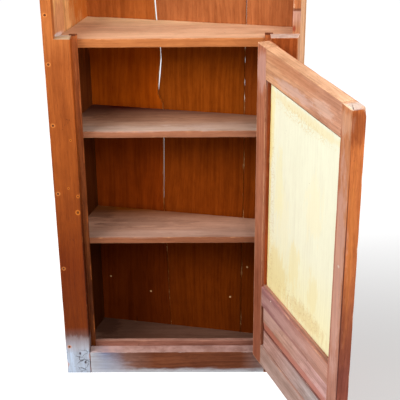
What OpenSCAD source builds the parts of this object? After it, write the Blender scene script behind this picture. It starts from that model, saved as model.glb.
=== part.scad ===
// Hanging cupboard with a skewed plan: an open niche above, one framed door below.
// X runs along the front, -Y is the front, +Z is up. The origin is in the middle of the
// bottom rail's underside. The door is drawn open, at the angle given by door_open.

/* [Case] */
// Width of the front, from outer edge to outer edge of the two stiles
front_w = 584; // [480:1:760]
// Height of the whole case
case_h = 1170; // [1080:1:1400]
// Depth from the front to the back boards, inside the left corner
left_depth = 231; // [180:1:320]
// Depth from the front to the back boards, inside the right corner
right_depth = 128; // [100:1:175]
// Angle by which the left side leans towards the right as it goes back
left_splay = 17; // [0:0.5:22]
// Angle by which the right side leans outwards as it goes back
right_splay = 12; // [0:0.5:14]
// Thickness of the two side boards
side_t = 18; // [14:0.5:24]
// Thickness of the top board
top_t = 20; // [14:0.5:28]
// Depth of the grooves that the shelves and the top board sit in
housing = 6; // [3:0.5:9]

/* [Front frame] */
// Thickness of the stiles and the bottom rail
stile_t = 32; // [24:1:40]
// Width of the left stile beside the door
left_stile_w = 63; // [50:1:90]
// Width of the left stile beside the open niche
niche_stile_w = 25; // [20:1:45]
// Width of the right stile
right_stile_w = 62; // [50:1:90]
// Height of the flat tops of the stiles above the top shelf
step_rise = 13; // [4:1:30]
// Height of the bottom rail
rail_h = 65; // [55:1:85]
// Chamfer on the right side board's edge beside the niche
niche_chamfer = 4; // [1:0.5:6]

/* [Shelves] */
// Thickness of the top shelf, which is the floor of the niche
top_shelf_t = 22; // [16:0.5:28]
// Thickness of the other shelves and the bottom board
shelf_t = 17; // [14:0.5:24]
// Height of the top shelf's surface
top_shelf_h = 909; // [860:1:915]
// Height of the upper shelf's surface
upper_shelf_h = 676; // [600:1:740]
// Height of the lower shelf's surface
lower_shelf_h = 385; // [300:1:450]
// Height of the bottom board's surface
floor_h = 28; // [24:1:45]

/* [Door stops] */
// Width of a stop strip that shows beside its stile
strip_show = 12; // [8:0.5:18]
// Width of a stop strip that lies behind its stile
strip_lap = 7; // [4:0.5:26]
// Thickness of the stop strips and of the lath behind the bottom rail
strip_t = 12; // [8:0.5:16]
// Height of the lath above the bottom rail
lath_show = 15; // [8:0.5:30]

/* [Back] */
// Thickness of the back boards
back_t = 12; // [9:0.5:18]
// Widest opening of the shrinkage gap between the left and the middle back board
gap_left_w = 6; // [1.5:0.1:8]
// Widest opening of the shrinkage gap between the middle and the right back board
gap_right_w = 3; // [1.5:0.1:6]
// Width of the split in the foot of the left back board
split_w = 2.4; // [1:0.1:4]
// Height of that split
split_h = 57; // [45:1:90]

/* [Hanging rail] */
// Height of the hanging rail under the top board
hang_h = 60; // [45:1:90]
// Thickness of the hanging rail
hang_t = 18; // [14:0.5:25]
// Distance between the two wall screws
hang_pitch = 400; // [300:1:420]
// Diameter of the holes for the wall screws
hang_hole_d = 6; // [4.5:0.1:8]

/* [Door] */
// Angle by which the drawn door stands open
door_open = 111; // [0:1:170]
// Clearance between the door and the opening
door_gap = 2.5; // [1.5:0.1:4]
// Thickness of the door's frame
door_t = 30; // [26:0.5:31]
// Distance from the door's top to the tops of the stiles
door_drop = 5; // [2:0.5:10]
// Width of the door's two stiles
door_stile_w = 46; // [36:1:70]
// Height of the door's top rail
door_top_rail_h = 75; // [55:1:100]
// Height of the door's middle rail
door_mid_rail_h = 54; // [40:1:80]
// Height of the door's middle rail's top edge
door_mid_top = 299; // [270:1:400]
// Height of the door's bottom rail
door_bottom_rail_h = 58; // [45:1:80]
// Length of the tenons
tenon_l = 30; // [15:1:30]
// Thickness of the tenons
tenon_t = 9; // [7:0.5:10]

/* [Door panels] */
// Width of the rebate that the panels lie in
rebate_w = 8; // [5:0.5:12]
// Thickness of the frame's lip in front of the panels
lip_t = 12; // [9:0.5:13]
// Thickness of the large upper panel
panel_t = 6; // [4:0.5:8]
// Thickness of the thin lower panel behind the lip
lower_panel_t = 7; // [4:0.5:8]
// Height of the lower of the two cross boards
low_board_h = 52; // [30:1:70]
// Thickness of the cross boards
board_t = 8; // [4:0.5:8]
// Height of the upper cross board's bevel
bevel_h = 22; // [10:1:40]
// Depth of the upper cross board's bevel
bevel_d = 3.5; // [1:0.5:3.5]
// Gap between the cross boards and the hinge stile
slot_w = 8; // [3:0.5:14]
// Side of the square beads round the upper panel
bead_w = 6; // [4:0.5:8]

/* [Hinges] */
// Length of a hinge
hinge_l = 75; // [50:1:100]
// Height of the lower hinge's middle
hinge_low_h = 190; // [150:1:260]
// Distance from the door's top to the upper hinge's middle
hinge_drop = 120; // [90:1:200]
// Distance of the hinge's axis in front of the case
hinge_out = 1.5; // [1:0.1:3]
// Diameter of the hinge's barrel
barrel_d = 6.4; // [5.4:0.1:8]
// Diameter of the hinge's pin
pin_d = 3; // [2.4:0.1:3.4]
// Thickness of a leaf
leaf_t = 1.6; // [1:0.1:1.8]
// Width of a leaf from the axis
leaf_w = 22; // [16:0.5:25]

/* [Knob] */
// Diameter of the knob
knob_d = 16; // [13:0.5:24]
// Length of the knob from the door's face
knob_l = 8; // [7:0.5:20]
// Height of the knob's middle
knob_h = 561; // [400:1:700]
// Diameter of the screw that holds the knob
knob_screw_d = 3.5; // [2.5:0.1:4]

/* [Nails and screws] */
// Diameter of a nail
nail_d = 2.6; // [2:0.1:3.4]
// Diameter of a nail's head
nail_head_d = 6; // [4:0.1:7]
// Thickness of a nail's head
nail_head_t = 1.2; // [0.8:0.1:2]
// Length of a front nail
front_nail_l = 45; // [40:1:48]
// Length of a back nail
back_nail_l = 34; // [25:1:45]
// Diameter of the lower of two old screw holes left by a lost catch
catch_hole_d = 5; // [2:0.1:7]
// Diameter of a hinge screw
screw_d = 3; // [2:0.1:3.4]
// Length of a hinge screw
screw_l = 15; // [10:0.5:15]

/* [Hidden] */
$fn = 48;

// Small overrun that lets a cut pass cleanly through a face
over = 1;
varnish = "#b9622c";
bare_wood = "#a4674a";
back_wood = "#8a3d1c";
cream = "#f1e6bd";
steel = "#8d8a86";

// The plan: the front plane, the plane behind the stiles, and the four side lines
front_y = -stile_t / 2;
frame_y = stile_t / 2;
shelf_y = frame_y + strip_t;
step_h = top_shelf_h + step_rise;
left_tan = tan(left_splay);
right_tan = tan(right_splay);
left_out = -front_w / 2;
left_in = left_out + side_t / cos(left_splay);
right_out = front_w / 2 + stile_t * right_tan;
right_in = right_out - side_t / cos(right_splay);
left_corner_y = front_y + left_depth;
left_corner_x = left_in + (left_corner_y - frame_y) * left_tan;
right_corner_y = front_y + right_depth;
right_corner_x = right_in + (right_corner_y - frame_y) * right_tan;
back_slope = (right_corner_y - left_corner_y) / (right_corner_x - left_corner_x);
back_angle = atan(back_slope);

// Where a side line, given by its x behind the stiles and its slope, meets the back boards, or
// a plane that lies the distance past behind their front
function back_meet(x, slope, past = 0) =
  let (y0 = left_corner_y + past / cos(back_angle) - back_slope * left_corner_x,
    mx = (x + (y0 - frame_y) * slope) / (1 - back_slope * slope))
  [mx, y0 + back_slope * mx];

// Point on a side line at a given y
function on_side(x, slope, y) = [x + (y - frame_y) * slope, y];

// Distance along the back boards from the left inner corner
function along_back(point) = (point[0] - left_corner_x) / cos(back_angle);

back_left_u = along_back(back_meet(left_out, left_tan));
back_right_u = along_back(back_meet(right_out, right_tan));
inner_right_u = along_back([right_corner_x, right_corner_y]);

// The door opening and the closed door
open_left = left_out + left_stile_w;
open_right = front_w / 2 - right_stile_w;
door_left = open_left + door_gap;
door_right = open_right - door_gap;
door_z0 = rail_h + door_gap;
door_z1 = step_h - door_drop;
door_in_y = front_y + door_t;
hinge_x = open_right - door_gap / 2;
hinge_y = front_y - hinge_out;
hinge_zs = [hinge_low_h, door_z1 - hinge_drop];

// Door levels
top_rail_z = door_z1 - door_top_rail_h;
mid_rail_z = door_mid_top - door_mid_rail_h;
low_rail_z = door_z0 + door_bottom_rail_h;

// Heights of the hanging rail and of the top board
top_under = case_h - top_t;
hang_z = top_under - hang_h;
hang_u = [(inner_right_u - hang_pitch) / 2, (inner_right_u + hang_pitch) / 2];

// Running clearance between a hinge's pin and its knuckles, and between moving metal
pin_play = 0.05;
leaf_play = 0.25;

// Extrudes a plan outline between two heights
module prism(outline, z0, z1) {
  translate([0, 0, z0]) linear_extrude(z1 - z0) polygon(outline);
}

// A box between two corners
module span(low, high) {
  translate(low) cube(high - low);
}

// Plan of a board that fills the case behind the line y, sunk by d into both sides
function floor_plan(y, d, past = 0) =
  let (l = left_in - d / cos(left_splay), r = right_in + d / cos(right_splay))
  [on_side(l, left_tan, y), on_side(r, right_tan, y), back_meet(r, right_tan, past),
   back_meet(l, left_tan, past)];

// Puts a child, drawn with x along the back boards and y out of the back, in its place
module on_back() {
  translate([left_corner_x, left_corner_y, 0]) rotate([0, 0, back_angle]) children();
}

// Puts a closed door piece in its open place
module door_place() {
  translate([hinge_x, hinge_y, 0]) rotate([0, 0, door_open])
    translate([-hinge_x, -hinge_y, 0]) children();
}

// One nail along +Y with its head's face at y = 0, or run in front of it for the cut that it fits
module nail(length, run) {
  rotate([-90, 0, 0]) {
    translate([0, 0, -run]) cylinder(d = nail_head_d, h = nail_head_t + run);
    cylinder(d = nail_d, h = length);
  }
}

// Nails through the stiles into the edges of the side boards
left_nail_x = (left_out + left_in) / 2;
right_nail_x = min((right_out + right_in) / 2, front_w / 2 - nail_head_d);
nail_below_top_shelf = 47;
nail_above_upper_shelf = 34;
nail_below_lower_shelf = 65;
nail_above_floor = 55;
niche_nail_rise = 70;
nail_zs = [floor_h + nail_above_floor, lower_shelf_h - nail_below_lower_shelf,
  (upper_shelf_h + lower_shelf_h) / 2, upper_shelf_h + nail_above_upper_shelf,
  top_shelf_h - nail_below_top_shelf];
niche_nail_zs = [top_shelf_h + niche_nail_rise, case_h - niche_nail_rise];

module front_nail_set(run = 0) {
  for (z = nail_zs, x = [left_nail_x, right_nail_x]) front_nail(x, z, run);
  for (z = niche_nail_zs) front_nail(left_nail_x, z, run);
}

module front_nail(x, z, run) {
  translate([x, front_y, z]) nail(front_nail_l, run);
}

// The two shrinkage gaps from the foot up: share of the height, share of the back's inner
// width, and how far the gap is open there. The left board's edge is torn below the niche.
gap_left_knees = [[0, 0.373, 0.14], [0.24, 0.36, 0.12], [0.32, 0.35, 0.14], [0.36, 0.348, 0.3],
  [0.5, 0.355, 0.3], [0.575, 0.357, 0.28], [0.592, 0.356, 0.4], [0.612, 0.334, 0.3],
  [0.63, 0.337, 0.6], [0.66, 0.344, 0.85], [0.69, 0.351, 0.7], [0.705, 0.35, 0.6],
  [0.74, 0.347, 0.7], [0.78, 0.343, 0.8], [0.82, 0.332, 1], [1, 0.31, 1]];
gap_right_knees = [[0, 0.75, 0.4], [0.145, 0.751, 0.45], [0.26, 0.7535, 0.4], [0.335, 0.757, 0.4],
  [0.52, 0.758, 0.55], [0.6, 0.7565, 0.6], [0.64, 0.7568, 1], [0.67, 0.7572, 0.4],
  [0.7, 0.7575, 0.9], [0.78, 0.761, 0.7], [1, 0.768, 0.8]];

function knee_places(knees) = [for (k = knees) [k[0] * case_h, k[1] * inner_right_u]];
function gap_left_u(z) = lookup(z, knee_places(gap_left_knees));
function gap_right_u(z) = lookup(z, knee_places(gap_right_knees));

// Nails through the back boards into the boards that they cover
board_us = [[back_left_u, gap_left_u(0)], [gap_left_u(0), gap_right_u(0)],
  [gap_right_u(0), back_right_u]];
back_nail_zs = [floor_h - shelf_t / 2, lower_shelf_h - shelf_t / 2, upper_shelf_h - shelf_t / 2,
  top_shelf_h - top_shelf_t / 2, top_under - hang_h / 4, top_under + top_t / 2];
nail_inset = 32;
side_nail_zs = [lower_shelf_h / 2, (lower_shelf_h + upper_shelf_h) / 2,
  (upper_shelf_h + top_shelf_h) / 2, (top_shelf_h + case_h) / 2];
nail_into_side = back_nail_l - back_t;
left_side_nail_u = back_left_u / 2 - nail_into_side / 2 * tan(left_splay - back_angle);
right_side_nail_u = (back_right_u + inner_right_u) / 2
  + nail_into_side / 2 * tan(-right_splay - back_angle);

module back_nail_set(run = 0) {
  on_back() {
    for (z = back_nail_zs, board = board_us, u = [board[0] + nail_inset, board[1] - nail_inset])
      back_nail(u, z, run);
    for (z = side_nail_zs, u = [left_side_nail_u, right_side_nail_u]) back_nail(u, z, run);
  }
}

module back_nail(u, z, run) {
  translate([u, back_t, z]) mirror([0, 1, 0]) nail(back_nail_l, run);
}

// Upright board of the back between two edges, each a list of [u, z] points from the foot up
module back_board(left_edge, right_edge) {
  outline = concat(left_edge, [for (i = [len(right_edge) - 1:-1:0]) right_edge[i]]);
  difference() {
    on_back() translate([0, back_t, 0]) rotate([90, 0, 0]) linear_extrude(back_t) polygon(outline);
    back_nail_set(over);
    hang_holes();
  }
}

// One side of a gap, -1 for its left and 1 for its right
function gap_edge(knees, side, open_w) =
  [for (k = knees) [k[1] * inner_right_u + side * k[2] * open_w / 2, k[0] * case_h]];

// Bores for the wall screws, through the hanging rail and the back boards
module hang_holes() {
  on_back() for (u = hang_u)
    translate([u, back_t + over, top_under - hang_h / 2]) rotate([90, 0, 0])
      cylinder(d = hang_hole_d, h = hang_t + back_t + 2 * over);
}

// Case boards
module side_board(outer, inner, slope) {
  difference() {
    prism([[outer, frame_y], [inner, frame_y], back_meet(inner, slope), back_meet(outer, slope)],
      0, case_h);
    shelf_grooves();
    front_nail_set(over);
    back_nail_set(over);
  }
}

module shelf_grooves() {
  prism(floor_plan(frame_y - over, housing, over), top_shelf_h - top_shelf_t, top_shelf_h);
  for (top = [upper_shelf_h, lower_shelf_h])
    prism(floor_plan(shelf_y, housing, over), top - shelf_t, top);
  prism(floor_plan(frame_y - over, housing, over), floor_h - shelf_t, floor_h);
  prism(floor_plan(frame_y - over, housing, over), top_under, case_h + over);
}

module shelf(top, thick, y) {
  difference() {
    prism(floor_plan(y, housing), top - thick, top);
    back_nail_set(over);
  }
}

module left_side() {
  color(varnish) side_board(left_out, left_in, left_tan);
}

module right_side() {
  color(varnish) difference() {
    side_board(right_out, right_in, right_tan);
    prism([[right_in - over, frame_y - over], [right_in + niche_chamfer + over, frame_y - over],
      [right_in - over, frame_y + niche_chamfer + over]], step_h, case_h + over);
  }
}

// Left stile: one board, cut narrower beside the niche
catch_holes = [[open_left - 8, knob_h - 82, catch_hole_d],
  [open_left - 5, knob_h - 38, catch_hole_d / 2]];
catch_hole_depth = 14;

module left_stile() {
  color(varnish) difference() {
    union() {
      span([left_out, front_y, 0], [open_left, frame_y, step_h]);
      span([left_out, front_y, 0], [left_out + niche_stile_w, frame_y, case_h]);
    }
    front_nail_set(over);
    for (hole = catch_holes)
      translate([hole[0], front_y - over, hole[1]]) rotate([-90, 0, 0])
        cylinder(d = hole[2], h = catch_hole_depth + over);
  }
}

module right_stile() {
  color(varnish) difference() {
    prism([[open_right, front_y], [front_w / 2, front_y], [right_out, frame_y],
      [open_right, frame_y]], 0, step_h);
    front_nail_set(over);
    for (z = hinge_zs) {
      leaf_recess(z, 1);
      barrel_recess(z);
      leaf_screws(z, 1);
    }
  }
}

module bottom_rail() {
  color(varnish) span([open_left, front_y, 0], [open_right, frame_y, rail_h]);
}

module top_board() {
  color(varnish) shelf(case_h, top_t, frame_y);
}

module hanging_rail() {
  color(bare_wood) difference() {
    intersection() {
      prism(floor_plan(shelf_y, 0), hang_z, top_under);
      on_back() span([back_left_u, -hang_t, hang_z - over], [back_right_u, over, case_h]);
    }
    hang_holes();
    back_nail_set(over);
  }
}

// Its ends reach forward past the stop strips to the backs of the stiles
module top_shelf() {
  color(bare_wood) difference() {
    shelf(top_shelf_h, top_shelf_t, frame_y);
    span([open_left - strip_lap, frame_y - over, top_shelf_h - top_shelf_t - over],
      [open_right + strip_lap, shelf_y, top_shelf_h + over]);
  }
}

module upper_shelf() {
  color(bare_wood) shelf(upper_shelf_h, shelf_t, shelf_y);
}

module lower_shelf() {
  color(bare_wood) shelf(lower_shelf_h, shelf_t, shelf_y);
}

module bottom_board() {
  color(bare_wood) shelf(floor_h, shelf_t, frame_y);
}

module left_stop_strip() {
  color(varnish)
    span([open_left - strip_lap, frame_y, floor_h], [open_left + strip_show, shelf_y, step_h]);
}

module right_stop_strip() {
  color(varnish)
    span([open_right - strip_show, frame_y, floor_h], [open_right + strip_lap, shelf_y, step_h]);
}

module bottom_stop_lath() {
  color(varnish) span([open_left + strip_show, frame_y, floor_h],
    [open_right - strip_show, shelf_y, rail_h + lath_show]);
}

module back_board_left() {
  split_u = gap_left_u(0) / 2;
  color(back_wood) difference() {
    back_board([[back_left_u, 0], [back_left_u, case_h]], gap_edge(gap_left_knees, -1, gap_left_w));
    on_back() span([split_u - split_w / 2, -over, -over], [split_u + split_w / 2,
      back_t + over, split_h]);
  }
}

module back_board_middle() {
  color(back_wood) back_board(gap_edge(gap_left_knees, 1, gap_left_w),
    gap_edge(gap_right_knees, -1, gap_right_w));
}

module back_board_right() {
  color(back_wood) back_board(gap_edge(gap_right_knees, 1, gap_right_w),
    [[back_right_u, 0], [back_right_u, case_h]]);
}

module front_nails() {
  color(steel) front_nail_set();
}

module back_nails() {
  color(steel) back_nail_set();
}

// Door frame: the lip that the panels lie against stands out of every inner edge at the front
door_in_left = door_left + door_stile_w;
door_in_right = door_right - door_stile_w;
lip_y = front_y + lip_t;
tenon_y = front_y + (door_t - tenon_t) / 2;
tenon_shoulder = 10;

module door_rail(z0, z1, lip_below, lip_above) {
  span([door_in_left, front_y, z0], [door_in_right, door_in_y, z1]);
  span([door_in_left, front_y, z0 - lip_below], [door_in_right, lip_y, z1 + lip_above]);
  span([door_in_left - tenon_l, tenon_y, z0 + tenon_shoulder],
    [door_in_right + tenon_l, tenon_y + tenon_t, z1 - tenon_shoulder]);
}

module door_rails() {
  door_rail(door_z0, low_rail_z, 0, rebate_w);
  door_rail(mid_rail_z, door_mid_top, rebate_w, rebate_w);
  door_rail(top_rail_z, door_z1, rebate_w, 0);
}

// A door stile from its outer edge to its inner edge, with lips between the rails
module door_stile(outer_x, inner_x) {
  lip_x = inner_x + sign(inner_x - outer_x) * rebate_w;
  low_x = min(outer_x, inner_x);
  difference() {
    union() {
      span([low_x, front_y, door_z0], [low_x + door_stile_w, door_in_y, door_z1]);
      for (z = [[low_rail_z, mid_rail_z], [door_mid_top, top_rail_z]])
        span([min(inner_x, lip_x), front_y, z[0] + rebate_w],
          [max(inner_x, lip_x), lip_y, z[1] - rebate_w]);
    }
    door_rails();
  }
}

module door_hinge_stile() {
  color(varnish) door_place() difference() {
    door_stile(door_right, door_in_right);
    for (z = hinge_zs) {
      leaf_recess(z, -1);
      barrel_recess(z);
      leaf_screws(z, -1);
    }
  }
}

module door_free_stile() {
  color(varnish) door_place() difference() {
    door_stile(door_left, door_in_left);
    knob_screw_solid(over);
  }
}

module door_top_rail() {
  color(varnish) door_place() door_rail(top_rail_z, door_z1, rebate_w, 0);
}

module door_mid_rail() {
  color(varnish) door_place() door_rail(mid_rail_z, door_mid_top, rebate_w, rebate_w);
}

module door_bottom_rail() {
  color(varnish) door_place() door_rail(door_z0, low_rail_z, 0, rebate_w);
}

// Panels: they lie against the lip, and beads or cross boards cover their edges
panel_y = lip_y + panel_t;
bead_y = panel_y + bead_w;
board_y = lip_y + lower_panel_t;
board_in_y = board_y + board_t;
board_split_z = low_rail_z + low_board_h;

module door_upper_panel() {
  color(cream) door_place()
    span([door_in_left, lip_y, door_mid_top], [door_in_right, panel_y, top_rail_z]);
}

module door_lower_panel() {
  color(varnish) door_place()
    span([door_in_left, lip_y, low_rail_z], [door_in_right, board_y, mid_rail_z]);
}

module door_cross_board_upper() {
  outline = [[board_y, board_split_z], [board_in_y - bevel_d, board_split_z],
    [board_in_y, board_split_z + bevel_h], [board_in_y, mid_rail_z], [board_y, mid_rail_z]];
  color(bare_wood) door_place() translate([door_in_left, 0, 0])
    rotate([90, 0, 90]) linear_extrude(door_in_right - slot_w - door_in_left) polygon(outline);
}

module door_cross_board_lower() {
  color(bare_wood) door_place() span([door_in_left, board_y, low_rail_z],
    [door_in_right - slot_w, board_in_y - bevel_d / 2, board_split_z]);
}

module bead(low_x, high_x, low_z, high_z) {
  color(varnish) door_place() span([low_x, panel_y, low_z], [high_x, bead_y, high_z]);
}

module bead_top() {
  bead(door_in_left, door_in_right, top_rail_z - bead_w, top_rail_z);
}

module bead_bottom() {
  bead(door_in_left, door_in_right, door_mid_top, door_mid_top + bead_w);
}

module bead_hinge_side() {
  bead(door_in_right - bead_w, door_in_right, door_mid_top + bead_w, top_rail_z - bead_w);
}

module bead_free_side() {
  bead(door_in_left, door_in_left + bead_w, door_mid_top + bead_w, top_rail_z - bead_w);
}

// Knob: a turned shape on the door's outer face, held by a screw from the inner face
knob_x = door_left + door_stile_w / 2;
knob_foot_d = 0.72 * knob_d;
knob_neck_d = 0.5 * knob_d;
knob_neck_l = 0.18 * knob_l;
knob_cap_l = 0.34 * knob_l;
knob_screw_into = 0.6 * knob_l;

module at_knob() {
  translate([knob_x, front_y, knob_h]) rotate([90, 0, 0]) children();
}

module knob_screw_solid(run = 0) {
  at_knob() translate([0, 0, -door_t])
    countersunk(knob_screw_d, door_t + knob_screw_into, knob_screw_d / 2, run);
}

// Countersunk screw along +Z with its head's face at z = 0, or run in front of it for its cut
module countersunk(d, length, head_l, run) {
  cylinder(d = d, h = length);
  cylinder(d1 = 2 * d, d2 = d, h = head_l);
  if (run > 0) translate([0, 0, -run]) cylinder(d = 2 * d, h = run);
}

// Half outline of the knob: foot, neck, then an elliptical cap
knob_outline = concat([[0, 0], [knob_foot_d / 2, 0], [knob_neck_d / 2, knob_neck_l]],
  [for (a = [-50:10:90]) [knob_d / 2 * cos(a), knob_l - knob_cap_l + knob_cap_l * sin(a)]]);

module door_knob() {
  color(varnish) door_place() difference() {
    at_knob() rotate_extrude() polygon(knob_outline);
    knob_screw_solid();
  }
}

module knob_screw() {
  color(steel) door_place() knob_screw_solid();
}

// Butt hinges: five knuckles on one pin, the outer and middle ones on the frame's leaf
knuckles = 5;
knuckle_l = hinge_l / knuckles;
screw_pitch = 0.36 * hinge_l;
screw_in = 0.62 * leaf_w;
screw_stagger = leaf_w / 6;
pin_head_d = 0.8 * barrel_d;
pin_head_t = 2 * leaf_play;

module at_hinge(z) {
  translate([hinge_x, hinge_y, z]) children();
}

// Knuckles first, first + 2 and so on, each shorter than its share by the play
module knuckle_set(first, d, play) {
  for (i = [first:2:knuckles - 1])
    translate([0, 0, -hinge_l / 2 + i * knuckle_l + play])
      cylinder(d = d, h = knuckle_l - 2 * play);
}

module leaf(z, side, first, bore_d) {
  leaf_x = side * (leaf_play + leaf_t / 2) - leaf_t / 2;
  difference() {
    at_hinge(z) difference() {
      union() {
        difference() {
          translate([leaf_x, 0, -hinge_l / 2]) cube([leaf_t, leaf_w, hinge_l]);
          knuckle_set(1 - first, barrel_d + 2 * leaf_play, -leaf_play / 2);
        }
        knuckle_set(first, barrel_d, leaf_play / 2);
      }
      translate([0, 0, -hinge_l / 2 - over]) cylinder(d = bore_d, h = hinge_l + 2 * over);
    }
    leaf_screws(z, side, over);
  }
}

module leaf_recess(z, side) {
  depth = leaf_play + leaf_t;
  at_hinge(z) translate([side > 0 ? 0 : -depth, 0, -hinge_l / 2]) cube([depth, leaf_w, hinge_l]);
}

module barrel_recess(z) {
  half = hinge_l / 2 + 2 * pin_head_t;
  at_hinge(z) translate([0, 0, -half]) cylinder(d = barrel_d + 4 * leaf_play, h = 2 * half);
}

// Three screws that hold a leaf
module leaf_screws(z, side, run = 0) {
  at_hinge(z) for (i = [-1:1])
    translate([side * leaf_play, screw_in + (i == 0 ? screw_stagger : 0), i * screw_pitch])
      rotate([0, 90 * side, 0]) countersunk(screw_d, screw_l, leaf_t, run);
}

module hinge_pin(z) {
  color(steel) at_hinge(z) {
    translate([0, 0, -hinge_l / 2]) cylinder(d = pin_d, h = hinge_l);
    for (low = [-hinge_l / 2 - pin_head_t, hinge_l / 2])
      translate([0, 0, low]) cylinder(d = pin_head_d, h = pin_head_t);
  }
}

module hinge_frame_leaf_lower() {
  color(steel) leaf(hinge_zs[0], 1, 0, pin_d);
}

module hinge_frame_leaf_upper() {
  color(steel) leaf(hinge_zs[1], 1, 0, pin_d);
}

module hinge_door_leaf_lower() {
  color(steel) door_place() leaf(hinge_zs[0], -1, 1, pin_d + 2 * pin_play);
}

module hinge_door_leaf_upper() {
  color(steel) door_place() leaf(hinge_zs[1], -1, 1, pin_d + 2 * pin_play);
}

module hinge_pin_lower() {
  hinge_pin(hinge_zs[0]);
}

module hinge_pin_upper() {
  hinge_pin(hinge_zs[1]);
}

module hinge_frame_screws() {
  color(steel) for (z = hinge_zs) leaf_screws(z, 1);
}

module hinge_door_screws() {
  color(steel) door_place() for (z = hinge_zs) leaf_screws(z, -1);
}

left_side();
right_side();
left_stile();
right_stile();
bottom_rail();
top_board();
hanging_rail();
top_shelf();
upper_shelf();
lower_shelf();
bottom_board();
left_stop_strip();
right_stop_strip();
bottom_stop_lath();
back_board_left();
back_board_middle();
back_board_right();
front_nails();
back_nails();
door_hinge_stile();
door_free_stile();
door_top_rail();
door_mid_rail();
door_bottom_rail();
door_upper_panel();
door_lower_panel();
door_cross_board_upper();
door_cross_board_lower();
bead_top();
bead_bottom();
bead_hinge_side();
bead_free_side();
door_knob();
knob_screw();
hinge_frame_leaf_upper();
hinge_frame_leaf_lower();
hinge_door_leaf_upper();
hinge_door_leaf_lower();
hinge_pin_upper();
hinge_pin_lower();
hinge_frame_screws();
hinge_door_screws();
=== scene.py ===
import math
import bpy
import numpy as np
from mathutils import Matrix, Vector


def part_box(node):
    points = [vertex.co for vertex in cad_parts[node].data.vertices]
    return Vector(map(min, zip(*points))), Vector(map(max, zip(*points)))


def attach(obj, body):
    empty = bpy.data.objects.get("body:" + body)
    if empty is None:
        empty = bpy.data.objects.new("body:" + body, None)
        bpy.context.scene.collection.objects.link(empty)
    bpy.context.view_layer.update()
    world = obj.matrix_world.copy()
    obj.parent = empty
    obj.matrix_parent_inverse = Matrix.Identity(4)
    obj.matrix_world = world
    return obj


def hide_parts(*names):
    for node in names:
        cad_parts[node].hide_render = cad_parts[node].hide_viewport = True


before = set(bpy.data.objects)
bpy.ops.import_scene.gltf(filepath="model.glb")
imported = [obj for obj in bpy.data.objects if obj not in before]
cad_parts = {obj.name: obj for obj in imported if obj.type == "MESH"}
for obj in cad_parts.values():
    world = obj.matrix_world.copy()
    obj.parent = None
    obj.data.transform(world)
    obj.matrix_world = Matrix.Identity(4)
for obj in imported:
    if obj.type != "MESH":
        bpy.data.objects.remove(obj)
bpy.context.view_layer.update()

# The camera: a long lens at head height, looking down on the open cupboard
# from straight in front. It stands where lines measured on the photograph meet.
eye = Vector((0.08565, -2.32903, 1.64700))
pitch, roll, yaw = (math.radians(a) for a in (26.137, 0.515, -0.518))
focal_pixels, picture_pixels, sensor_mm = 1050.977, 400, 36
ahead = Vector((math.sin(yaw) * math.cos(pitch), math.cos(yaw) * math.cos(pitch),
                -math.sin(pitch)))
sideways = Vector((math.cos(yaw), -math.sin(yaw), 0))
below = ahead.cross(sideways)
right = sideways * math.cos(roll) + below * math.sin(roll)
down = below * math.cos(roll) - sideways * math.sin(roll)
lens = bpy.data.cameras.new("view")
lens.sensor_width = sensor_mm
lens.lens = focal_pixels * sensor_mm / picture_pixels
camera = bpy.data.objects.new("view", lens)
camera.matrix_world = Matrix.Translation(eye) @ Matrix(
    (right, -down, -ahead)).transposed().to_4x4()
bpy.context.scene.collection.objects.link(camera)
bpy.context.scene.camera = camera
bpy.context.scene.view_settings.view_transform = "Standard"

# The studio: a pale paper floor, lit to white on the left and further back, with a
# painted shadow of the door greying it near the door, and three broad soft lamps:
# high on the left, high on the right, and a weak one for the right side.
paper_light, painted_door_shadow, sky_fill = 0.84, 0.57, 0.22
floor_x, floor_near, floor_far = 9, -9, 12


def put(tree, kind, settings=None, inputs=None):
    """Adds a node, gives it its settings, and fills its sockets with values or links."""
    node = tree.nodes.new("ShaderNode" + kind)
    for key, value in (settings or {}).items():
        setattr(node, key, value)
    for key, value in (inputs or {}).items():
        if isinstance(value, bpy.types.NodeSocket):
            tree.links.new(value, node.inputs[key])
        else:
            node.inputs[key].default_value = value
    return node


def sums(tree, rule, *terms):
    """One step of arithmetic on numbers: the rule's name and its terms."""
    return put(tree, "Math", {"operation": rule}, dict(enumerate(terms))).outputs[0]


def ease(tree, value, low, high, start=0.0, finish=1.0):
    """A soft step from start to finish while the value goes from low to high."""
    return put(tree, "MapRange", {"interpolation_type": "SMOOTHSTEP"}, {
        "Value": value, "From Min": low, "From Max": high,
        "To Min": start, "To Max": finish}).outputs[0]


def seen(tree):
    """One for rays from the lens, and for those that a mirror or glass sends on."""
    path = put(tree, "LightPath").outputs
    first = sums(tree, "MAXIMUM", path["Is Camera Ray"], path["Is Glossy Ray"])
    return sums(tree, "MAXIMUM", first, path["Is Transmission Ray"])


def new_material(name):
    """An empty material and its node tree, with the output already in it."""
    material = bpy.data.materials.new(name)
    material.use_nodes = True
    tree = material.node_tree
    tree.nodes.clear()
    return material, tree, tree.nodes.new("ShaderNodeOutputMaterial")


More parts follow.
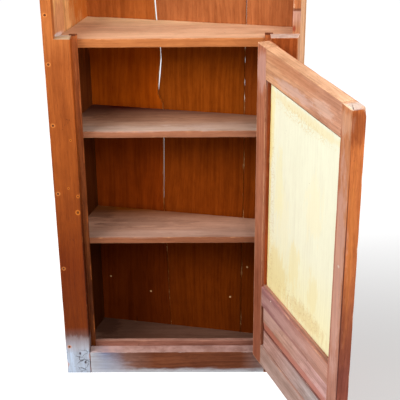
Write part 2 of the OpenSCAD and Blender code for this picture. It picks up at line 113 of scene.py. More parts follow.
paper, tree, end = new_material("paper_floor")
spot = put(tree, "SeparateXYZ", inputs={0: put(tree, "TexCoord").outputs["Object"]}).outputs
# Painted shadow of the door: the floor's glow is lowered right of the cupboard, most at the front.
shade = ease(tree, spot[1], 0.0, 1.15, painted_door_shadow, 0.0)
for axis, outer, inner in ((0, 0.20, 0.40), (0, 1.15, 0.75), (1, -0.9, -0.5)):
    shade = sums(tree, "MULTIPLY", shade, ease(tree, spot[axis], outer, inner))
lit = sums(tree, "SUBTRACT", paper_light, shade)
matt = put(tree, "BsdfDiffuse", inputs={"Color": (0.5, 0.5, 0.5, 1)})
lift = put(tree, "Emission", inputs={
    "Color": (1, 1, 1, 1), "Strength": sums(tree, "MULTIPLY", seen(tree), lit)})
both = put(tree, "AddShader", inputs={0: matt.outputs[0], 1: lift.outputs[0]})
tree.links.new(both.outputs[0], end.inputs["Surface"])
floor_mesh = bpy.data.meshes.new("floor")
floor_mesh.from_pydata([(-floor_x, floor_near, 0), (floor_x, floor_near, 0),
                        (floor_x, floor_far, 0), (-floor_x, floor_far, 0)], [], [(0, 1, 2, 3)])
floor_mesh.materials.append(paper)
floor = bpy.data.objects.new("floor", floor_mesh)
bpy.context.scene.collection.objects.link(floor)

sky = bpy.data.worlds.new("studio")
sky.use_nodes = True
tree = sky.node_tree
tree.nodes.clear()
glow = sums(tree, "MULTIPLY_ADD", seen(tree), 1 - sky_fill, sky_fill)
back = put(tree, "Background", inputs={"Color": (1, 1, 1, 1), "Strength": glow})
tree.links.new(back.outputs[0], tree.nodes.new("ShaderNodeOutputWorld").inputs["Surface"])
bpy.context.scene.world = sky


def soft_lamp(name, place, aim, size, watts):
    """A square lamp of the given side, turned from its place towards its aim."""
    lamp = bpy.data.lights.new(name, "AREA")
    lamp.size = size
    lamp.energy = watts
    holder = bpy.data.objects.new(name, lamp)
    turn = (Vector(aim) - Vector(place)).to_track_quat("-Z", "Y")
    holder.matrix_world = Matrix.Translation(place) @ turn.to_matrix().to_4x4()
    bpy.context.scene.collection.objects.link(holder)


soft_lamp("left_lamp", (-1.75, -1.35, 2.4), (0.0, 0.0, 0.8), 1.5, 85)
soft_lamp("right_lamp", (1.0, -1.9, 2.4), (0.0, 0.1, 0.9), 1.2, 46)
soft_lamp("side_lamp", (2.2, -0.6, 1.5), (0.3, 0.0, 0.8), 1.2, 20)

# The left stile: one plank of softwood, upright grain, varnished orange and
# worn, cut narrow above the step beside the niche and nailed to the side board.
# Dust lies on its step; plaster and dark cracks are on its foot.


def tone(red, green, blue):
    """A colour as it looks on a screen, 0 to 255, turned into the light values of a shader."""
    return tuple(((c / 255 + 0.055) / 1.055) ** 2.4 for c in (red, green, blue))


def new_group(name, sockets_in, sockets_out):
    """A shader node group: (name, kind) of each socket in, and names of the values out."""
    group = bpy.data.node_groups.new(name, "ShaderNodeTree")
    for label, kind in sockets_in:
        group.interface.new_socket(label, in_out="INPUT", socket_type="NodeSocket" + kind)
    for label in sockets_out:
        group.interface.new_socket(label, in_out="OUTPUT", socket_type="NodeSocketFloat")
    start, end = group.nodes.new("NodeGroupInput"), group.nodes.new("NodeGroupOutput")
    return group, start.outputs, end.inputs


def vectors(tree, rule, *terms, result="Vector"):
    """One step of arithmetic on vectors."""
    return put(tree, "VectorMath", {"operation": rule}, dict(enumerate(terms))).outputs[result]


def clouds(tree, place, scale, detail=3.0, roughness=0.55):
    """Cloudy noise from 0 to 1 at the place; its scale is one number, or one for each axis."""
    if not isinstance(scale, float):
        place, scale = vectors(tree, "MULTIPLY", place, scale), 1.0
    return put(tree, "TexNoise", inputs={
        "Vector": place, "Scale": scale, "Detail": detail, "Roughness": roughness}).outputs


# Growth rings lie round a heart line along Z, bent by slow noise; fibre and
# streaks are noise drawn out along Z; pores are short dark dashes; mottle is
# the cloudy depth of old varnish.
tree, start, end = new_group(
    "sawn_grain", [("Place", "Vector"), ("Heart", "Vector"), ("Ring", "Float")],
    ["Rings", "Fibre", "Streaks", "Pores", "Mottle"])
from_heart = vectors(tree, "SUBTRACT", start["Place"], start["Heart"])
slow = clouds(tree, from_heart, (5.0, 5.0, 1.4), 2.0)["Color"]
sway = vectors(tree, "MULTIPLY", vectors(tree, "SUBTRACT", slow, (0.5, 0.5, 0.5)),
               (0.06, 0.06, 0.06))
bent = vectors(tree, "ADD", from_heart, sway)
radius = vectors(tree, "LENGTH", vectors(tree, "MULTIPLY", bent, (1.0, 1.0, 0.06)), result="Value")
turn = sums(tree, "FRACT", sums(tree, "DIVIDE", radius, start["Ring"]))
late = sums(tree, "MULTIPLY", sums(tree, "POWER", turn, 2.2), ease(tree, turn, 1.0, 0.86))
dash = clouds(tree, from_heart, (800.0, 800.0, 45.0), 1.0)[0]
for label, value in (
        ("Rings", late), ("Pores", ease(tree, dash, 0.62, 0.72)),
        ("Fibre", clouds(tree, bent, (520.0, 520.0, 22.0), 3.0, 0.6)[0]),
        ("Streaks", clouds(tree, bent, (70.0, 70.0, 2.6), 5.0, 0.68)[0]),
        ("Mottle", clouds(tree, from_heart, (34.0, 34.0, 16.0), 5.0, 0.66)[0])):
    tree.links.new(value, end[label])

# Wear on the arrises of a plain board: of the three distances to its faces, the
# middle one is small only near an arris.
tree, start, end = new_group("arris_wear", [
    ("Place", "Vector"), ("Centre", "Vector"), ("Half", "Vector"), ("Width", "Float")], ["Worn"])
away = vectors(tree, "ABSOLUTE", vectors(tree, "SUBTRACT", start["Place"], start["Centre"]))
part = put(tree, "SeparateXYZ", inputs={0: vectors(tree, "SUBTRACT", start["Half"], away)}).outputs
pairs = [sums(tree, "MAXIMUM", part[a], part[b]) for a, b in ((0, 1), (1, 2), (0, 2))]
near = sums(tree, "MINIMUM", sums(tree, "MINIMUM", pairs[0], pairs[1]), pairs[2])
tree.links.new(sums(tree, "SUBTRACT", 1.0, sums(tree, "DIVIDE", near, start["Width"])),
               end["Worn"])

# Noise breaks worn strips up, so that the bare wood shows in ragged lengths.
tree, start, end = new_group("rubbed", [("Place", "Vector"), ("Worn", "Float")], ["Wear"])
rough = clouds(tree, start["Place"], 45.0, 6.0, 0.75)[0]
tree.links.new(ease(tree, sums(tree, "ADD", start["Worn"], sums(
    tree, "MULTIPLY", sums(tree, "SUBTRACT", rough, 0.5), 2.2)), 0.45, 1.0), end["Wear"])

# Dust that has settled: thick on what faces up, broken by clouds of noise.
tree, start, end = new_group(
    "settled_dust", [("Place", "Vector"), ("Amount", "Float")], ["Dust"])
facing = put(tree, "SeparateXYZ", inputs={0: put(tree, "TexCoord").outputs["Normal"]}).outputs[2]
cloud = clouds(tree, start["Place"], 16.0, 6.0, 0.7)[0]
lies = sums(tree, "MULTIPLY", ease(tree, facing, 0.5, 0.95),
            ease(tree, cloud, 0.3, 0.7, 0.35, 1.0))
tree.links.new(sums(tree, "MULTIPLY", lies, start["Amount"]), end["Dust"])

# A ragged patch, such as a stain, splash or faded area: full inside a stretched
# ball round its centre. Noise, drawn out as the grain runs, eats into its edge
# and thins it in streaks.
tree, start, end = new_group("ragged_patch", [
    ("Place", "Vector"), ("Centre", "Vector"), ("Size", "Vector"), ("Weave", "Vector"),
    ("Ragged", "Float")], ["Patch"])
off = vectors(tree, "LENGTH", vectors(tree, "DIVIDE", vectors(
    tree, "SUBTRACT", start["Place"], start["Centre"]), start["Size"]), result="Value")
bite = clouds(tree, start["Place"], start["Weave"], 7.0, 0.72)[0]
inside = sums(tree, "ADD", sums(tree, "SUBTRACT", 1.0, off), sums(
    tree, "MULTIPLY", sums(tree, "SUBTRACT", bite, 0.5),
    sums(tree, "MULTIPLY", start["Ragged"], 2.0)))
tree.links.new(ease(tree, inside, 0.0, 0.5), end["Patch"])

# Fine branching cracks: thin lines along the borders of cells of uneven size.
tree, start, end = new_group("crazing", [("Place", "Vector"), ("Cell", "Float")], ["Cracks"])
shake = clouds(tree, start["Place"], 60.0, 3.0)["Color"]
moved = vectors(tree, "ADD", start["Place"], vectors(tree, "MULTIPLY", shake, (0.02, 0.02, 0.02)))
border = put(tree, "TexVoronoi", {"feature": "DISTANCE_TO_EDGE"}, {
    "Vector": moved, "Scale": sums(tree, "DIVIDE", 1.0, start["Cell"])}).outputs["Distance"]
tree.links.new(ease(tree, border, 0.07, 0.02), end["Cracks"])

# Knocks and fly specks: small dents where a coarse and a fine noise both peak.
tree, start, end = new_group("knocks", [("Place", "Vector"), ("Cover", "Float")], ["Dents"])
coarse = clouds(tree, start["Place"], 38.0, 2.0)[0]
fine = clouds(tree, start["Place"], 210.0, 1.0)[0]
peak = sums(tree, "ADD", sums(tree, "ADD", coarse, fine), start["Cover"])
tree.links.new(ease(tree, peak, 1.44, 1.50), end["Dents"])


def place_group(tree, name, inputs):
    """Puts a group into a tree, fills its sockets and hands its outputs on."""
    return put(tree, "Group", {"node_tree": bpy.data.node_groups[name]}, inputs).outputs


def over(tree, amount, under, top, blend="MIX"):
    """Lays the top colour over the one under it by the amount."""
    mix = put(tree, "Mix", {"data_type": "RGBA", "blend_type": blend}, {0: amount})
    for socket, colour in ((mix.inputs[6], under), (mix.inputs[7], top)):
        if isinstance(colour, bpy.types.NodeSocket):
            tree.links.new(colour, socket)
        else:
            socket.default_value = (*colour, 1.0)
    return mix.outputs[2]


def blended(tree, value, stops):
    """A colour that runs through the stops (value, colour), lowest value first."""
    low, high = stops[0][0], stops[-1][0]
    share = put(tree, "MapRange", inputs={
        "Value": value, "From Min": low, "From Max": high}).outputs[0]
    node = put(tree, "ValToRGB", inputs={0: share})
    marks = node.color_ramp.elements
    for index, (spot, colour) in enumerate(stops):
        mark = marks[index] if index < 2 else marks.new(1.0)
        mark.position = (spot - low) / (high - low)
        mark.color = (*colour, 1.0)
    return node.outputs[0]


def aged_wood(name, stops, axis="Z", grain="Z", heart=(0.06, 0.11, 0.0), ring=0.008, figure=1.0,
              wear=(tone(225, 160, 110), 0.6), dust=(tone(190, 170, 155), 0.0), coats=(),
              patches=(), crazed=(), rough=0.5, sheen=0.1, dents=0.08, relief=0.35,
              cad_box=None, cad_turn=None):
    """Old wood: a colour that changes along one axis; streaks, mottle, rings, fibre and
    pores darken it; then patches, cracks, knocks, worn arrises and dust are laid over.
    A board made here brings the place in its own drawing and its wear as attributes;
    a CAD part has a box (low and high corner) instead, and a turn that lays an open
    door's part back in its drawing. A coat is (point, direction, depth, colour or
    stops, amount): another colour on the face that lies square to the direction at
    the point. A patch is (centre, size, raggedness, colour, amount) and maybe a blend;
    a crazed one is (centre, size, width of a cell, colour, amount)."""
    material, tree, end = new_material(name)
    if cad_box:
        place = put(tree, "TexCoord").outputs["Object"]
        if cad_turn:
            place = put(tree, "Mapping", {"vector_type": "POINT"}, {
                "Vector": place, "Rotation": cad_turn[0], "Location": cad_turn[1]}).outputs[0]
        worn = place_group(tree, "arris_wear", {
            "Place": place, "Centre": [(a + b) / 2 for a, b in zip(*cad_box)],
            "Half": [(b - a) / 2 for a, b in zip(*cad_box)], "Width": 0.003})["Worn"]
    else:
        place = put(tree, "Attribute", {"attribute_name": "drawn"}).outputs["Vector"]
        worn = put(tree, "Attribute", {"attribute_name": "worn"}).outputs["Fac"]
    along = {"Z": (0, 0, 0), "X": (0, math.pi / 2, 0)}[grain]
    weave = {"Z": (75.0, 75.0, 18.0), "X": (18.0, 75.0, 75.0)}[grain]
    turned = put(tree, "Mapping", {"vector_type": "POINT"}, {
        "Vector": place, "Rotation": along}).outputs[0]
    sawn = place_group(tree, "sawn_grain", {"Place": turned, "Heart": heart, "Ring": ring})
    level = put(tree, "SeparateXYZ", inputs={0: place}).outputs["XYZ".index(axis)]
    colour = blended(tree, level, stops)
    for spot, direction, depth, tint, amount in coats:
        off = sums(tree, "ABSOLUTE", vectors(tree, "DOT_PRODUCT", vectors(
            tree, "SUBTRACT", place, spot), direction, result="Value"))
        tint = tint if isinstance(tint[0], float) else blended(tree, level, tint)
        colour = over(tree, ease(tree, off, depth, 0.5 * depth, 0.0, amount), colour, tint)
    for amount, shade in (
            (ease(tree, sawn["Streaks"], 0.62, 0.34, 0.0, 0.62 * figure), (0.52, 0.42, 0.36)),
            (ease(tree, sawn["Mottle"], 0.62, 0.32, 0.0, 0.50 * figure), (0.62, 0.52, 0.46)),
            (sums(tree, "MULTIPLY", sawn["Rings"], 0.42 * figure), (0.52, 0.40, 0.32)),
            (ease(tree, sawn["Fibre"], 0.30, 0.75, 0.0, 0.36 * figure), (0.50, 0.42, 0.38)),
            (sums(tree, "MULTIPLY", sawn["Pores"], 0.45 * figure), (0.30, 0.22, 0.20))):
        colour = over(tree, amount, colour, shade, "MULTIPLY")
    for spot, size, ragged, tint, amount, *blend in patches:
        patch = place_group(tree, "ragged_patch", {
            "Place": place, "Centre": spot, "Size": size, "Weave": weave,
            "Ragged": ragged})["Patch"]
        colour = over(tree, sums(tree, "MULTIPLY", patch, amount), colour, tint, *blend)
    height = sums(tree, "SUBTRACT", sums(tree, "MULTIPLY", sawn["Fibre"], 0.6),
                  sums(tree, "MULTIPLY", sawn["Rings"], 0.5))
    for spot, size, cell, tint, amount in crazed:
        patch = place_group(tree, "ragged_patch", {
            "Place": place, "Centre": spot, "Size": size, "Weave": (40.0, 40.0, 40.0),
            "Ragged": 0.9})["Patch"]
        cracks = place_group(tree, "crazing", {"Place": place, "Cell": cell})["Cracks"]
        line = sums(tree, "MULTIPLY", patch, cracks)
        colour = over(tree, sums(tree, "MULTIPLY", line, amount), colour, tint)
        height = sums(tree, "SUBTRACT", height, line)
    dent = place_group(tree, "knocks", {"Place": place, "Cover": dents})["Dents"]
    colour = over(tree, sums(tree, "MULTIPLY", dent, 0.5), colour, (0.35, 0.28, 0.24), "MULTIPLY")
    bare = place_group(tree, "rubbed", {"Place": place, "Worn": worn})["Wear"]
    colour = over(tree, sums(tree, "MULTIPLY", bare, wear[1]), colour, wear[0])
    film = place_group(tree, "settled_dust", {"Place": place, "Amount": dust[1]})["Dust"]
    colour = over(tree, film, colour, dust[0])
    gloss = sums(tree, "ADD", ease(tree, sawn["Streaks"], 0.3, 0.7, rough + 0.06, rough - 0.06),
                 sums(tree, "MULTIPLY", sums(tree, "MAXIMUM", film, bare), 0.3))
    height = sums(tree, "SUBTRACT", height, sums(tree, "MULTIPLY", dent, 0.9))
    bump = put(tree, "Bump", inputs={"Strength": relief, "Distance": 0.0012, "Height": height})
    skin = put(tree, "BsdfPrincipled", inputs={
        "Base Color": colour, "Roughness": gloss, "Normal": bump.outputs[0],
        "Specular IOR Level": sheen})
    tree.links.new(skin.outputs[0], end.inputs["Surface"])
    return material


def ripples(seed, place, size, steps=3):
    """Seeded unevenness from about -1 to 1: sines in random directions, each set
    half the size and three fifths the height of the one before, added up."""
    random = np.random.default_rng(seed)
    total, most = 0.0, 0.0
    for step in range(steps):
        wave, high = size * 0.5 ** step, 0.6 ** step
        for _ in range(3):
            way = random.normal(size=place.shape[-1])
            way /= np.linalg.norm(way)
            total = total + high * np.sin(place @ way * 2 * np.pi / wave + random.uniform(0, 6.28))
            most += high
    return total / (0.6 * most)


def drawn_piece(name, skin, wear, material, body, node, setting=None, flipped=False):
    """A closed skin over rows of points that run round a piece, flat across both ends,
    laid where the setting puts it. The place in the drawing and the wear go along as
    attributes. It rides on the named body and hides the CAD node that it stands for."""
    rows, around = skin.shape[:2]
    lap = np.arange(around)
    here = np.arange(rows - 1)[:, None] * around + lap
    beside = np.arange(rows - 1)[:, None] * around + (lap + 1) % around
    quads = np.stack((here, beside, beside + around, here + around), -1).reshape(-1, 4)
    ends = np.stack((lap[::-1], (rows - 1) * around + lap))
    if flipped:
        quads, ends = quads[:, ::-1], ends[:, ::-1]
    drawn = skin.reshape(-1, 3)
    points = setting(drawn) if setting else drawn
    mesh = bpy.data.meshes.new(name)
    mesh.from_pydata(points.tolist(), [], quads.tolist() + ends.tolist())
    mesh.polygons.foreach_set("use_smooth", [True] * len(quads) + [False] * 2)
    mesh.materials.append(material)
    mesh.attributes.new("drawn", "FLOAT_VECTOR", "POINT").data.foreach_set("vector", drawn.ravel())
    mesh.attributes.new("worn", "FLOAT", "POINT").data.foreach_set("value", wear.ravel())
    piece = bpy.data.objects.new(name, mesh)
    bpy.context.scene.collection.objects.link(piece)
    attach(piece, body)
    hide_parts(node)


def old_board(name, rings, node, slot, material, body="case", setting=None, soft=0.0012,
              worn=0.003, sharp=(), uneven=0.0003, seed=1, chips=()):
    """A sawn board: an outline of some corners carried along its length, from one
    knee of the path to the next. Each corner becomes a curve that starts and ends
    a radius away from it, the radius swelling where ripples wear it or a chip
    (distance along, corner, depth, length) is out; faces sink by ripples; both
    ends are rounded by a quarter circle and closed. Everything lies inside the
    outline."""
    pitch, strip, margin = 0.009, 0.014, 0.002
    rings = np.asarray(rings, float)
    count = rings.shape[1]
    knees = np.linalg.norm(np.diff(rings.mean(1), axis=0), axis=1)
    reach = np.concatenate(([0], np.cumsum(knees)))
    whole = reach[-1]
    lip = soft * np.array([0, 0.12, 0.45, 1.0])
    at = np.unique(np.round(np.concatenate((lip, whole - lip, reach, np.linspace(
        soft, whole - soft, max(3, int(whole / pitch))))), 7))
    corner = np.stack([np.stack([np.interp(at, reach, rings[:, c, k]) for k in range(3)], -1)
                       for c in range(count)], 1)
    onward = np.roll(corner, -1, 1) - corner
    span = np.linalg.norm(onward, axis=2)
    onward /= span[..., None]
    backward = -np.roll(onward, 1, 1)
    rub = np.stack([np.clip(0.35 + 0.55 * ripples(seed * 17 + c, at[:, None], 0.16, 4), 0, 1)
                    for c in range(count)], 1)
    radius = soft + worn * rub ** 2
    for spot, which, depth, length in chips:
        chip = np.exp(-((at - spot) / length) ** 2)
        radius[:, which] += depth * chip
        rub[:, which] = np.maximum(rub[:, which], chip)
    rub[:, list(sharp)], radius[:, list(sharp)] = 0, 0.0003
    radius = np.minimum(radius, 0.45 * np.minimum(span, np.roll(span, 1, 1)))
    leave = corner + onward * radius[..., None]
    enter = corner + backward * radius[..., None]
    points, wear = [], []
    for c in range(count):
        for t in (0, 0.3, 0.7, 1.0):
            points.append((1 - t) ** 2 * enter[:, c] + 2 * t * (1 - t) * corner[:, c]
                          + t ** 2 * leave[:, c])
            wear.append(rub[:, c] * (0.8 if t in (0, 1.0) else 1.2))
        width = span[:, c].mean()
        shares = np.linspace(0, 1, max(1, int(width / strip)) + 1)[1:-1]
        if width > 4 * margin:
            shares = np.concatenate(([margin / width], shares, [1 - margin / width]))
        for share in shares:
            points.append((1 - share) * leave[:, c] + share * enter[:, (c + 1) % count])
            wear.append(0 * rub[:, c])
    skin, wear = np.stack(points, 1), np.stack(wear, 1)
    across = np.cross(skin, np.roll(skin, -1, 1)).sum(1)
    across /= np.linalg.norm(across, axis=1)[:, None]
    inward = np.cross(across[:, None], np.roll(skin, -1, 1) - np.roll(skin, 1, 1))
    inward /= np.maximum(np.linalg.norm(inward, axis=2), 1e-9)[..., None]
    to_end = np.clip(np.minimum(at, whole - at) / soft, 0, 1)
    rounded = soft * (1 - np.sqrt(1 - (1 - to_end) ** 2))
    sunk = uneven * (0.5 + 0.5 * np.clip(ripples(seed, skin, 0.11), -1, 1)) + rounded[:, None]
    drawn_piece(name, skin + inward * sunk[..., None], wear, material, body, node, setting,
                across[0] @ (rings[-1].mean(0) - rings[0].mean(0)) < 0)


def block(x, y, z, along="Z"):
    """The two end outlines of a square-cut board between low and high x, y and z."""
    if along == "Z":
        return [[(x[0], y[0], h), (x[1], y[0], h), (x[1], y[1], h), (x[0], y[1], h)] for h in z]
    return [[(h, y[0], z[0]), (h, y[1], z[0]), (h, y[1], z[1]), (h, y[0], z[1])] for h in x]


x_way, y_way, z_way = (1.0, 0.0, 0.0), (0.0, 1.0, 0.0), (0.0, 0.0, 1.0)
case_top = 1.170
front, behind = -0.016, 0.016
step = 0.922
left_edge, stile_edge, niche_edge = -0.292, -0.229, -0.267
halos = [((-0.2826, front, z), (0.007, 0.01, 0.007), 0.3, tone(236, 146, 74), 0.55)
         for z in (0.083, 0.320, 0.5305, 0.710, 0.862, 0.979, 1.100)]
# Old nail holes, painted: a dark spot is painted shade inside each hole, in a lighter ring.
holes_with_painted_shade = [((x, front, z), (r * k, 0.02, r * k * 1.2), 0.2, shade, 0.8)
             for x, z, r in ((-0.237, 0.479, 0.0030), (-0.234, 0.523, 0.0020),
                             (-0.243, 0.672, 0.0014), (-0.256, 0.545, 0.0014))
             for k, shade in ((2.5, tone(222, 126, 44)), (1.6, tone(66, 26, 8)))]
plaster = tone(204, 220, 242)
stile_wood = aged_wood(
    "left_stile_wood", (
        (0.0, plaster), (0.078, plaster), (0.108, tone(128, 100, 94)), (0.143, tone(124, 52, 2)),
        (0.337, tone(125, 50, 2)), (0.613, tone(166, 84, 29)), (0.861, tone(174, 93, 41)),
        (0.93, tone(197, 115, 58)), (1.03, tone(197, 115, 58))),
    heart=(-0.35, 0.05, 0), rough=0.4, figure=0.7, wear=(tone(206, 122, 62), 0.45),
    dust=(tone(189, 171, 140), 0.9), coats=[
        ((stile_edge, 0.0, 0.0), x_way, 0.003,
         ((0.4, tone(79, 29, 2)), (0.7, tone(174, 89, 34))), 0.9)],
    patches=[
        ((-0.26, front, 0.092), (0.08, 0.2, 0.03), 0.8, tone(176, 164, 168), 0.45),
        ((-0.2555, front, 0.062), (0.0035, 0.1, 0.006), 0.8, tone(70, 50, 60), 0.9),
        ((-0.243, front, 0.034), (0.004, 0.1, 0.006), 0.9, tone(60, 46, 50), 0.9),
        ((-0.262, behind, step), (0.03, 0.012, 0.004), 0.8, tone(236, 228, 226), 0.85),
        *halos, *holes_with_painted_shade],
    crazed=[((-0.246, front, 0.04), (0.022, 0.05, 0.04), 0.021, tone(60, 52, 52), 0.75)])
stile_steps = ((0.0, stile_edge), (step - 0.0005, stile_edge), (step, niche_edge),
               (case_top, niche_edge))
old_board("left_stile_plank", [
    [(left_edge, front, z), (edge, front, z), (edge, behind, z), (left_edge, behind, z)]
    for z, edge in stile_steps], "left_stile", "front_wood", stile_wood,
    sharp=(2, 3), worn=0.002, seed=3,
    chips=[(0.03, 0, 0.004, 0.012), (0.055, 1, 0.002, 0.01), (0.93, 1, 0.003, 0.006)])

# The right stile: its outer edge follows the leaning side board. It stays the
# CAD part, because the hinge leaves and barrels are let into it.
splay_left, splay_right = math.radians(17), math.radians(12)
left_square = (math.cos(splay_left), -math.sin(splay_left), 0.0)
right_square = (math.cos(splay_right), -math.sin(splay_right), 0.0)


def dress(node, material, arris=0.0012):
    """Gives a CAD part its finish, joins its loose faces and rounds its arrises a little."""
    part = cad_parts[node]
    part.data.materials.clear()
    part.data.materials.append(material)
    weld = part.modifiers.new("weld", "WELD")
    weld.merge_threshold = 0.00001
    if arris:
        round_off = part.modifiers.new("arris", "BEVEL")
        round_off.width = arris
        round_off.segments = 2
        round_off.limit_method = "ANGLE"
        round_off.angle_limit = math.radians(40)


# Its front is painted darker than the left stile: painted shade of the open door, which falls on
# it.
dress("right_stile", aged_wood(
    "right_stile_wood", (
        (0.0, tone(120, 60, 30)), (0.8, tone(150, 74, 34)), (step, tone(166, 84, 38))),
    heart=(0.31, 0.09, 0), rough=0.45, sheen=0.04, cad_box=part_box("right_stile"),
    wear=(tone(214, 140, 96), 0.7), dust=(tone(218, 196, 181), 0.9),
    coats=[((0.292, front, 0.0), right_square, 0.0025, tone(232, 164, 112), 0.95)]))

# The bottom rail, mortised between the stiles, with splashed ends; and the lath
# nailed behind it, which the door shuts against.
open_left, open_right = -0.229, 0.230
rail_top, lath_back, lath_low, lath_top = 0.065, 0.028, 0.028, 0.080
lath_left, lath_right = -0.217, 0.218
rail_wood = aged_wood(
    "bottom_rail_wood", (
        (-0.228, tone(206, 212, 222)), (-0.19, tone(139, 145, 177)), (-0.135, tone(150, 112, 100)),
        (-0.06, tone(130, 74, 46)), (0.17, tone(130, 74, 46)), (0.225, tone(150, 122, 116))),
    "X", grain="X", heart=(-0.03, 0.05, 0), rough=0.55, wear=(tone(196, 180, 178), 0.6),
    dust=(tone(196, 158, 149), 0.9), patches=[
        ((0.0, front, -0.014), (0.8, 0.1, 0.032), 0.4, tone(199, 203, 210), 0.85),
        ((-0.21, front, 0.0), (0.11, 0.1, 0.07), 0.35, tone(190, 194, 206), 0.5)])
old_board("bottom_rail_plank", block(
    (open_left, open_right), (front, behind), (0.0, rail_top), "X"),
    "bottom_rail", "front_wood", rail_wood, worn=0.0025, seed=5)
lath_wood = aged_wood(
    "lath_wood", ((-0.2, tone(165, 113, 96)), (0.2, tone(165, 113, 96))), "X", grain="X",
    rough=0.6, wear=(tone(180, 126, 104), 0.5), dust=(tone(176, 134, 118), 0.7))
old_board("bottom_lath", block(
    (lath_left, lath_right), (behind, lath_back), (lath_low, lath_top), "X"),
    "bottom_stop_lath", "front_wood", lath_wood, worn=0.002, seed=6)

# The stop strips: thin varnished laths nailed behind the stiles, that the door
# shuts against. Their sawn tops show dark beside the dusty step.
strip_w = 0.019
for node, x, seed in (("left_stop_strip", (lath_left - strip_w, lath_left), 7),
                      ("right_stop_strip", (lath_right, lath_right + strip_w), 8)):
    strip_wood = aged_wood(
        node + "_wood", ((0.25, tone(120, 60, 18)), (0.75, tone(201, 115, 63))),
        heart=(x[0] - 0.03, 0.07, 0.0), rough=0.42, figure=1.3, wear=(tone(190, 106, 56), 0.6),
        patches=[((x[0], 0.02, step), (0.05, 0.05, 0.004), 0.3, tone(84, 40, 22), 0.9)])
    old_board(node + "_lath", block(x, (behind, lath_back), (lath_low, step)),
              node, "front_wood", strip_wood, worn=0.0015, seed=seed)

# The two sides: broad planks, upright, leaning away from the front frame, and
# grooved for the shelves. They are salmon in the niche and dark inside; the left
# side's near black there is partly painted shade of the door and stiles. The outer
# right face has faded to peach.
side_t, right_inner = 0.018, 0.2804
lean_left, lean_right = math.tan(splay_left), math.tan(splay_right)
side_lines = [(left_edge, lean_left),
              (left_edge + side_t / math.cos(splay_left), lean_left),
              (right_inner, lean_right),
              (right_inner + side_t / math.cos(splay_right), lean_right)]


def on_side(line, y):
    """The point of a side line, given by its x behind the stiles and its lean, at a y."""
    return (line[0] + (y - behind) * line[1], y)


left_deep, right_deep = 0.215, 0.112
left_corner = np.array(on_side(side_lines[1], left_deep))
right_corner = np.array(on_side(side_lines[2], right_deep))
back_way = right_corner - left_corner
back_turn = math.atan2(back_way[1], back_way[0])


def meets_back(line):
    """The point where a side line meets the front of the back boards."""
    slope = math.tan(back_turn)
    y0 = left_corner[1] - slope * left_corner[0]
    x = (line[0] + (y0 - behind) * line[1]) / (1 - slope * line[1])
    return (x, y0 + slope * x)


def side_rings(outer, inner):
    """Outlines of a side board, seen from above, at its foot and its top."""
    plan = [on_side(outer, behind), on_side(inner, behind), meets_back(inner), meets_back(outer)]
    return [[(x, y, z) for x, y in plan] for z in (0.0, case_top)]


grey_dust = tone(150, 135, 130)
# Near black inside below the niche, partly painted shade of the door and stiles; salmon above the
# step.
left_wood = aged_wood(
    "left_side_wood", (
        (0.15, tone(69, 29, 1)), (0.35, tone(69, 29, 1)), (0.70, tone(110, 54, 20)),
        (0.90, tone(110, 54, 20)), (0.915, tone(255, 193, 126)), (1.1, tone(255, 193, 126))),
    heart=(-0.3, 0.4, 0), rough=0.5, sheen=0.12, wear=(tone(214, 144, 92), 0.5),
    dust=(grey_dust, 0.6), patches=[
        ((-0.213, 0.215, 1.08), (0.06, 0.2, 0.30), 0.7, tone(194, 103, 34), 0.95),
        ((-0.262, 0.06, 0.945), (0.016, 0.06, 0.06), 1.1, tone(176, 98, 80), 0.4),
        ((-0.266, 0.04, 0.912), (0.015, 0.06, 0.009), 1.8, tone(222, 214, 214), 0.6)],
    coats=[((left_edge, behind, 0.0), left_square, 0.006, tone(222, 156, 108), 0.95)])
old_board("left_side_plank", side_rings(side_lines[0], side_lines[1]), "left_side",
          "side_wood", left_wood, sharp=(0, 1, 2), worn=0.002, seed=9)
right_wood = aged_wood(
    "right_side_wood", (
        (0.0, tone(226, 160, 120)), (0.9, tone(247, 180, 122)), (case_top, tone(247, 180, 122))),
    heart=(0.45, 0.3, 0), rough=0.5, wear=(tone(240, 190, 150), 0.6), dust=(grey_dust, 0.6),
    coats=[
        ((right_inner, behind, 0.0), right_square, 0.008,
         ((0.89, tone(104, 52, 24)), (0.92, tone(196, 116, 72))), 0.95),
        # The front edge: the thin dark band at 0.977 to 0.98 m is a painted shadow under a small
        # step.
        ((0.29, behind, 0.0), y_way, 0.004,
         ((0.885, tone(172, 92, 56)), (0.905, tone(196, 130, 86)), (0.935, tone(204, 142, 102)),
          (0.955, tone(210, 158, 136)), (0.974, tone(212, 162, 144)), (0.977, tone(120, 62, 42)),
          (0.98, tone(120, 62, 42)), (0.983, tone(196, 118, 72))), 0.9)],
    patches=[((0.284, 0.02, 0.935), (0.006, 0.01, 0.012), 0.5, tone(140, 50, 30), 0.8)])
old_board("right_side_plank", side_rings(side_lines[3], side_lines[2]), "right_side",
          "side_wood", right_wood, worn=0.003, seed=10,
          chips=[(0.984, 1, 0.004, 0.004), (1.02, 1, 0.003, 0.05), (1.12, 1, 0.003, 0.05)])

# The top board, let into grooves in the sides, and the hanging rail nailed to
# the back under it. Both are above the photograph's edge.
roof_low, rail_low, rail_deep, rail_long, groove = 1.150, 1.090, 0.018, 0.5234, 0.006


